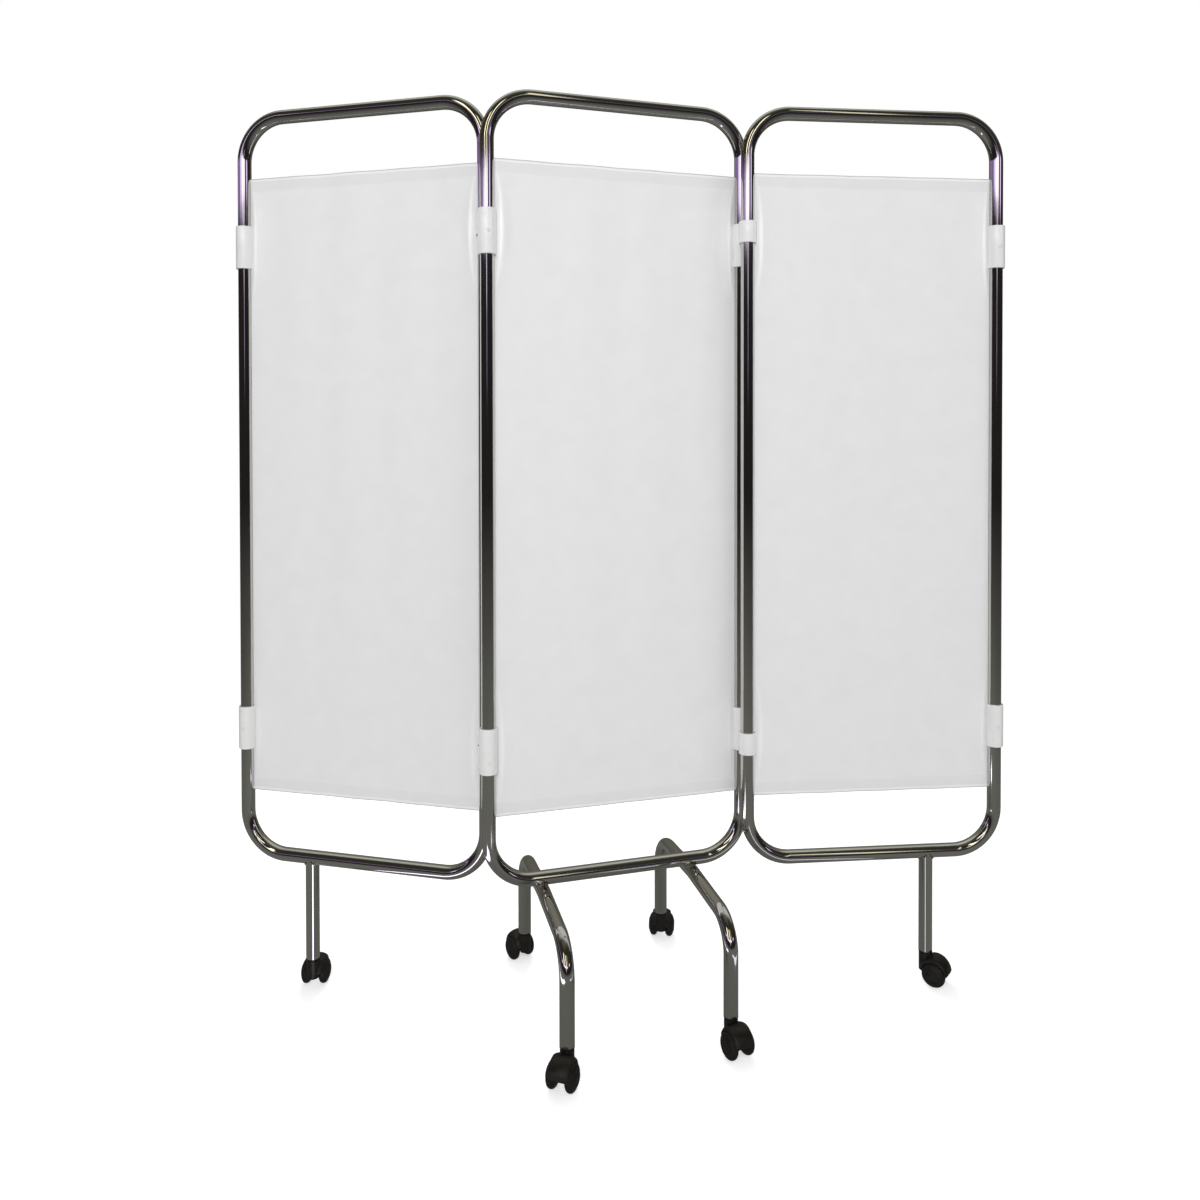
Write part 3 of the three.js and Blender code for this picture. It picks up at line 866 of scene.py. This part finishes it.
def addAxle(name):
    sizes = castorSizes
    half = (sizes["webWidth"] + sizes["running"]) / 2 + sizes["wheelWidth"] - sizes["hubWall"] - sizes["fit"]
    radius, chamfer = sizes["axleRadius"], sizes["axleChamfer"]
    builder = turned(alongAxle(name), [
        (0, -half), (radius - chamfer, -half), (radius, chamfer - half),
        (radius, half - chamfer), (radius - chamfer, half), (0, half),
    ], sizes["pinSides"])
    builder.build(name + "_axle_pin", "steel", name + "_castor", [name + "_castor_axle"], "steel")


def addPintle(name):
    sizes = castorSizes
    low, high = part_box(name + "_castor_pintle")
    radius, chamfer = sizes["pintleRadius"], sizes["pintleChamfer"]
    builder = turned(castorPlaces[name], [
        (0, low.z), (radius, low.z), (radius, high.z - chamfer), (radius - chamfer, high.z), (0, high.z),
    ], sizes["pinSides"])
    builder.build(name + "_pintle_pin", "steel", name + "_castor", [name + "_castor_pintle"], "steel")


# The plug in a leg's end, with a flange under the tube
def addInsert(name):
    sizes = castorSizes
    low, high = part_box(name + "_castor_insert")
    outer = tubeSizes["radius"]
    plug = outer - tubeSizes["wall"] - sizes["plugFit"]
    flange = low.z + sizes["plugFlange"]
    bore = sizes["pintleRadius"] + sizes["fit"]
    corners = [(bore, low.z), (outer, low.z), (outer, flange), (plug, flange), (plug, high.z), (bore, high.z)]
    profile = roundedCorners(corners, sizes["plugEdges"], sizes["cornerSteps"])
    builder = turned(castorPlaces[name], profile, tubeSizes["sides"])
    body = (name if name in panelSides else "middle") + "_panel"
    builder.build(name + "_leg_plug", "hood", body, [name + "_castor_insert"], "plug_plastic")


def addHood(name):
    builder = Builder(castorPlaces[name])
    axle = castorAxis(name)
    addFender(builder, axle)
    addHub(builder, axle)
    addBoss(builder, axle)
    node, body = name + "_castor_hood", name + "_castor"
    builder.build(name + "_hood_moulding", "hood", body, [node], "hood_plastic", smoothAngle=35)


# The hood's section across the wheels, as (across, radius, rise): over the top, then back inside
def hoodSection():
    sizes = castorSizes
    half, edge, web = sizes["hoodHalfWidth"], sizes["edge"], sizes["webWidth"] / 2
    steps = sizes["sectionSteps"]
    section = []
    for i in range(-steps, steps + 1):
        across = (half - edge) * math.sin(math.pi / 2 * i / steps)
        radius = shoulder(sizes["hoodRadius"], across, sizes["hoodSpread"], sizes["hoodRoundness"])
        section.append((across, radius, sizes["hoodRise"]))
    rim = shoulder(sizes["hoodRadius"], half, sizes["hoodSpread"], sizes["hoodRoundness"])
    room = sizes["wheelRadius"] + sizes["running"]
    inside = [(half, rim - edge, sizes["hoodRise"]), (half, room + edge, 1), (half - edge, room, 1)]
    shape = [(across, radius) for across, radius in wheelSection() if across < sizes["wheelWidth"] / 2]
    for across, radius in reversed(shape):
        inside.append((web + across + sizes["lining"], radius + sizes["running"], 1))
    inside.append((web, sizes["hubRadius"] - edge, 1))
    mirrored = [(-across, radius, rise) for across, radius, rise in reversed(inside)]
    return section + inside + mirrored


# The round-shouldered cover over both wheels, cut off level at its skirt
def addFender(builder, axle):
    skirt, steps = castorSizes["skirt"], castorSizes["hoodSteps"]
    section = hoodSection()
    rings = []
    for i in range(steps + 1):
        ring = []
        for across, radius, rise in section:
            start = math.asin(min(1, skirt / (radius * rise)))
            angle = start + (math.pi - 2 * start) * i / steps
            ring.append((axle.x + radius * math.cos(angle), across, axle.z + radius * rise * math.sin(angle)))
        rings.append(ring)
    builder.solid(rings)


# The disc between the wheels that holds the axle
def addHub(builder, axle):
    sizes = castorSizes
    half, radius, edge = sizes["webWidth"] / 2, sizes["hubRadius"], sizes["edge"]
    rings = []
    for across, inset in ((-half, edge), (edge - half, 0), (half - edge, 0), (half, edge)):
        outline = circle(radius - inset, across, sizes["sides"])
        rings.append([(axle.x + x, y, axle.z + z) for x, z, y in outline])
    builder.solid(rings)


# Points of an arc about Z at a height
def arc(radius, start, sweep, steps, height):
    angles = [start + sweep * i / steps for i in range(steps + 1)]
    return [(radius * math.cos(angle), radius * math.sin(angle), height) for angle in angles]


# Outline of the stem socket at one height, cut back where the wheels turn
def bossOutline(radius, height, axle):
    sizes = castorSizes
    web = sizes["webWidth"] / 2
    room = sizes["wheelRadius"] + sizes["running"]
    drop = abs(height - axle.z)
    front = axle.x - math.sqrt(room ** 2 - drop ** 2) if drop < room else radius
    webAngle = math.asin(web / radius)
    cut = max(math.acos(max(-1, min(1, front / radius))), webAngle)
    outline = arc(radius, cut, 2 * math.pi - 2 * cut, sizes["bossSides"], height)
    back = outline[0][0]
    outline.append((back, -web, height))
    outline += arc(radius, -webAngle, 2 * webAngle, sizes["webSides"], height)
    outline.append((back, web, height))
    return outline


# The stem socket and the apron below it, in front of the wheels
def addBoss(builder, axle):
    sizes = castorSizes
    radius, top = sizes["bossRadius"], sizes["hoodTop"]
    levels = bevelledLevels(sizes["bossFoot"], top, sizes["bossEdge"], sizes["bossSteps"])
    rings = [bossOutline(radius - inset, height, axle) for height, inset in levels]
    bore = (sizes["pintleRadius"] + sizes["fit"]) / radius
    for depth in (0, sizes["socketDepth"]):
        rings.append([(x * bore, y * bore, top - depth) for x, y, _ in bossOutline(radius, top, axle)])
    builder.solid(rings)


# Stage

stageSizes = {
    "floor": 12.0, "clear": 1.1, "faded": 2.4, "aim": 0.85,
    "surround": 40.0, "surroundMiddle": 1.0, "columns": 360, "rows": 180,
    "clothSides": 48, "clothRings": 30, "clothTip": 0.001, "clothHeight": 0.0006, "glintHeight": 0.0012,
}
ambientLight = 0.36
floorLook = {"tones": ((0.83, 0.83, 0.83), (0.80, 0.80, 0.80)), "cloud": (3, 3), "glow": 0.5}
lampSetup = {
    "key": {"place": (-1.6, -3.3, 2.5), "size": 1.8, "power": 78},
    "side": {"place": (2.6, -2.4, 2.3), "size": 2.2, "power": 18},
    "back": {"place": (0.4, 3.4, 2.6), "size": 2.4, "power": 88},
}


def addLamp(name, setup):
    data = bpy.data.lights.new(name, "AREA")
    data.shape = "SQUARE"
    data.size = setup["size"]
    data.energy = setup["power"]
    lamp = addObject(name, data)
    lamp.location = setup["place"]
    aim = Vector((0, 0, stageSizes["aim"])) - Vector(setup["place"])
    lamp.rotation_euler = aim.to_track_quat("-Z", "Y").to_euler()
    lamp.visible_glossy = False


# 1 for rays from the camera and for the mirror and glass rays that follow them
def backdropRays(nodes):
    path = nodes.add("ShaderNodeLightPath").outputs
    either = path["Is Camera Ray"]
    for kind in ("Is Glossy Ray", "Is Transmission Ray"):
        either = nodes.add("ShaderNodeMath", {0: either, 1: path[kind]}, operation="MAXIMUM").outputs[0]
    return either


def addPlain(name, points, faces, material):
    mesh = bpy.data.meshes.new(name)
    mesh.from_pydata(points, [], faces)
    mesh.materials.append(material)
    return addObject(name, mesh)


# White, with the screen's soft shadow near the middle and none further out
def addFloor():
    look = floorLook
    half = stageSizes["floor"] / 2
    corners = [(-half, -half, 0), (half, -half, 0), (half, half, 0), (-half, half, 0)]
    nodes = Nodes(bpy.data.materials.new("pale_floor"))
    tone = nodes.mix(nodes.spread(nodes.noise(*look["cloud"]), 0, 1), *look["tones"])
    lit = nodes.add("ShaderNodeBsdfDiffuse", {"Color": tone}).outputs[0]
    bright = nodes.add("ShaderNodeAddShader", {0: lit, 1: nodes.light((1, 1, 1), look["glow"])}).outputs[0]
    away = nodes.add("ShaderNodeVectorMath", {0: nodes.position}, operation="LENGTH").outputs["Value"]
    faded = nodes.spread(away, 0, 1, stageSizes["clear"], stageSizes["faded"])
    seen = nodes.add("ShaderNodeMixShader", {0: faded, 1: bright, 2: nodes.light((1, 1, 1))}).outputs[0]
    mixed = nodes.add("ShaderNodeMixShader", {0: backdropRays(nodes), 1: lit, 2: seen}).outputs[0]
    addPlain("floor", corners, [(0, 1, 2, 3)], nodes.show(mixed))


# The white backdrop, which also lights the screen evenly from all sides
def addRoom():
    world = bpy.data.worlds.new("room")
    bpy.context.scene.world = world
    nodes = Nodes(world)
    nodes.tree.nodes.clear()
    even = nodes.add("ShaderNodeBackground", {"Color": (1, 1, 1), "Strength": ambientLight}).outputs[0]
    white = nodes.add("ShaderNodeBackground", {"Color": (1, 1, 1)}).outputs[0]
    mixed = nodes.add("ShaderNodeMixShader", {0: backdropRays(nodes), 1: even, 2: white}).outputs[0]
    nodes.add("ShaderNodeOutputWorld", {"Surface": mixed})


# What the chrome mirrors: dark cloths round the set with soft lights before them. A band of lights
# stands between two heights, in degrees above the horizon; each light gives degrees right of the
# camera, the softness across and up, and a colour
clothTones = {
    "walls": (0.020, 0.018, 0.018),
    "frontCeiling": (0.038, 0.037, 0.026),
    "backCeiling": (0.15, 0.148, 0.12),
    "highBack": (0.60, 0.60, 0.56),
    "floor": (0.14, 0.14, 0.13),
}
# Where one cloth passes into the next, as its start and its width in degrees
clothSteps = {
    "behind": (80, 30), "backCeiling": (55, 25), "ceilingBehind": (22, 16),
    "highBack": (45, 12), "ceiling": (15, 5), "floor": (8, 14),
}
mirroredLights = [
    ((13.2, 17.8), [
        ((-34, -20), (4, 1.2), (1.9, 1.9, 1.95)),
        ((-17, -4), (3, 1.2), (2.3, 2.0, 2.7)),
        ((3, 19), (3, 1.2), (2.3, 2.2, 2.15)),
        ((-20, 3), (4, 1.2), (0.45, 0.36, 0.60)),
        ((-130, -34), (4, 1.4), (0.30, 0.21, 0.46)),
        ((-54, -46), (3, 1.2), (1.7, 1.4, 2.0)),
        ((19, 58), (4, 1.4), (0.16, 0.12, 0.25)),
        ((48, 62), (3, 1.2), (1.3, 1.0, 1.6)),
    ]),
    ((19, 45), [
        ((-32, -22), (3, 3), (2.6, 2.4, 1.7)),
        ((1, 9), (3, 3), (2.6, 2.4, 1.7)),
        ((26.5, 29.5), (2, 3), (1.4, 1.35, 1.0)),
    ]),
    ((-45, 45), [((125, 235), (30, 20), (0.12, 0.115, 0.10))]),
    ((4, 9), [((-1.5, 3), (3, 5), (0.70, 0.56, 0.92))]),
    ((9, 13), [((-2, 3.5), (3, 3), (1.7, 1.5, 2.0))]),
]
# The floor cloth's tone at distances from the middle, in metres
floorTones = [
    (0.0, (0.120, 0.124, 0.110)), (0.35, (0.145, 0.148, 0.135)), (0.7, (0.182, 0.184, 0.168)),
    (1.4, (0.165, 0.165, 0.152)), (2.2, (0.130, 0.130, 0.120)), (3.6, (0.085, 0.084, 0.078)),
    (6.0, (0.055, 0.053, 0.050)), (9.0, (0.034, 0.032, 0.032)), (13.0, (0.024, 0.022, 0.022)),
]
# Pale strips on the floor before the two straight legs: degrees to each side of the way to the
# camera and their colour, then how far they reach from a leg in metres
floorGlints = {"left": (9, (2.6, 2.4, 3.0)), "right": (4.5, (1.3, 1.25, 1.5))}
glintReach = (0.05, 0.75)


# From 0 at a start to 1 a width further on
def ramp(value, start, width):
    return min(1, max(0, (value - start) / width))


def softEdge(value, low, high, soft):
    rise = min(1, max(0, (value - low) / soft + 0.5))
    fall = min(1, max(0, (high - value) / soft + 0.5))
    return rise * rise * (3 - 2 * rise) * fall * fall * (3 - 2 * fall)


def mirroredTone(across, up):
    tones = {name: Vector(tone) for name, tone in clothTones.items()}
    behind = ramp(abs(across), *clothSteps["behind"])
    back = max(ramp(up, *clothSteps["backCeiling"]), behind * ramp(up, *clothSteps["ceilingBehind"]))
    ceiling = tones["frontCeiling"].lerp(tones["backCeiling"], back)
    ceiling = ceiling.lerp(tones["highBack"], behind * ramp(up, *clothSteps["highBack"]))
    tone = tones["walls"].lerp(ceiling, ramp(up, *clothSteps["ceiling"]))
    tone = tone.lerp(tones["floor"], ramp(-up, *clothSteps["floor"]))
    for (low, high), lights in mirroredLights:
        for (left, right), (softAcross, softUp), colour in lights:
            middle = (left + right) / 2
            turn = (across - middle + 180) % 360 - 180 + middle
            strength = softEdge(turn, left, right, softAcross) * softEdge(up, low, high, softUp)
            tone = tone + strength * Vector(colour)
    return (*tone, 1)


# A mesh in given tones that only mirror rays see
def addMirrored(name, points, faces, tones):
    nodes = Nodes(bpy.data.materials.new(name))
    shown = nodes.show(nodes.light(nodes.mark("tone").outputs["Color"]))
    piece = addPlain(name, points, faces, shown)
    layer = piece.data.color_attributes.new("tone", "FLOAT_COLOR", "POINT")
    layer.data.foreach_set("color", [value for tone in tones for value in tone])
    for rays in ("camera", "diffuse", "transmission", "volume_scatter", "shadow"):
        setattr(piece, "visible_" + rays, False)


# Faces between closed rings of points, each ring joined to the next
def ringFaces(rings, sides):
    faces = []
    for j in range(rings):
        for i in range(sides):
            corner, right = j * sides + i, j * sides + (i + 1) % sides
            faces.append((corner, right, right + sides, corner + sides))
    return faces


def addSurround():
    sizes = stageSizes
    columns, rows, radius = sizes["columns"], sizes["rows"], sizes["surround"]
    cameraWay = math.radians(-90 - cameraSetup["swing"])
    points, tones = [], []
    for j in range(rows + 1):
        up = -90 + 180 * j / rows
        flat = math.cos(math.radians(up)) * radius
        height = sizes["surroundMiddle"] + radius * math.sin(math.radians(up))
        for i in range(columns):
            across = 360 * i / columns - 180
            around = cameraWay + math.radians(across)
            points.append((flat * math.cos(around), flat * math.sin(around), height))
            tones.append(mirroredTone(across, up))
    addMirrored("dark_surround", points, ringFaces(rows, columns), tones)


def addFloorCloth():
    setup = stageSizes
    sides, rings = setup["clothSides"], setup["clothRings"]
    reach = floorTones[-1][0]
    points, tones = [], []
    for j in range(rings + 1):
        radius = reach * j / rings
        place = max(i for i, (start, _) in enumerate(floorTones[:-1]) if start <= radius)
        (near, first), (far, second) = floorTones[place], floorTones[place + 1]
        tone = Vector(first).lerp(Vector(second), (radius - near) / (far - near))
        points += circle(max(radius, setup["clothTip"]), setup["clothHeight"], sides)
        tones += [(*tone, 1)] * sides
    addMirrored("floor_cloth", points, ringFaces(rings, sides), tones)


# Wedge-shaped strips on the floor that draw a bright line down each straight leg
def addFloorGlints():
    camera = bpy.context.scene.camera.matrix_world.translation
    near, far = glintReach
    for panel, (turn, tone) in floorGlints.items():
        swivel, _ = castorPoints(panel)
        way = math.atan2(camera.y - swivel.y, camera.x - swivel.x)
        points = []
        for reach, side in ((near, -turn), (near, turn), (far, turn), (far, -turn)):
            angle = way + math.radians(side)
            x, y = swivel.x + reach * math.cos(angle), swivel.y + reach * math.sin(angle)
            points.append((x, y, stageSizes["glintHeight"]))
        addMirrored(panel + "_floor_glint", points, [(0, 1, 2, 3)], [(*tone, 1)] * 4)


# Everything in its place

for panel in panelSides:
    addFrame(panel)
    addSheet(panel)
print("frames and sheets ready")

for panel in ("left", "right"):
    addSideLeg(panel)
    addArchLeg(panel)
    for level in clipLevels:
        addOuterClip(panel, level)
        addHingeClip(panel, level)
print("legs and clips ready")

for name in castorNames:
    addInsert(name)
    addPintle(name)
    addHood(name)
    addAxle(name)
    addWheel(name, "a", 1)
    addWheel(name, "b", -1)
print("castors ready")

addFloor()
addRoom()
addSurround()
addFloorCloth()
addFloorGlints()
for lampName, lampSettings in lampSetup.items():
    addLamp(lampName, lampSettings)
print("stage ready")
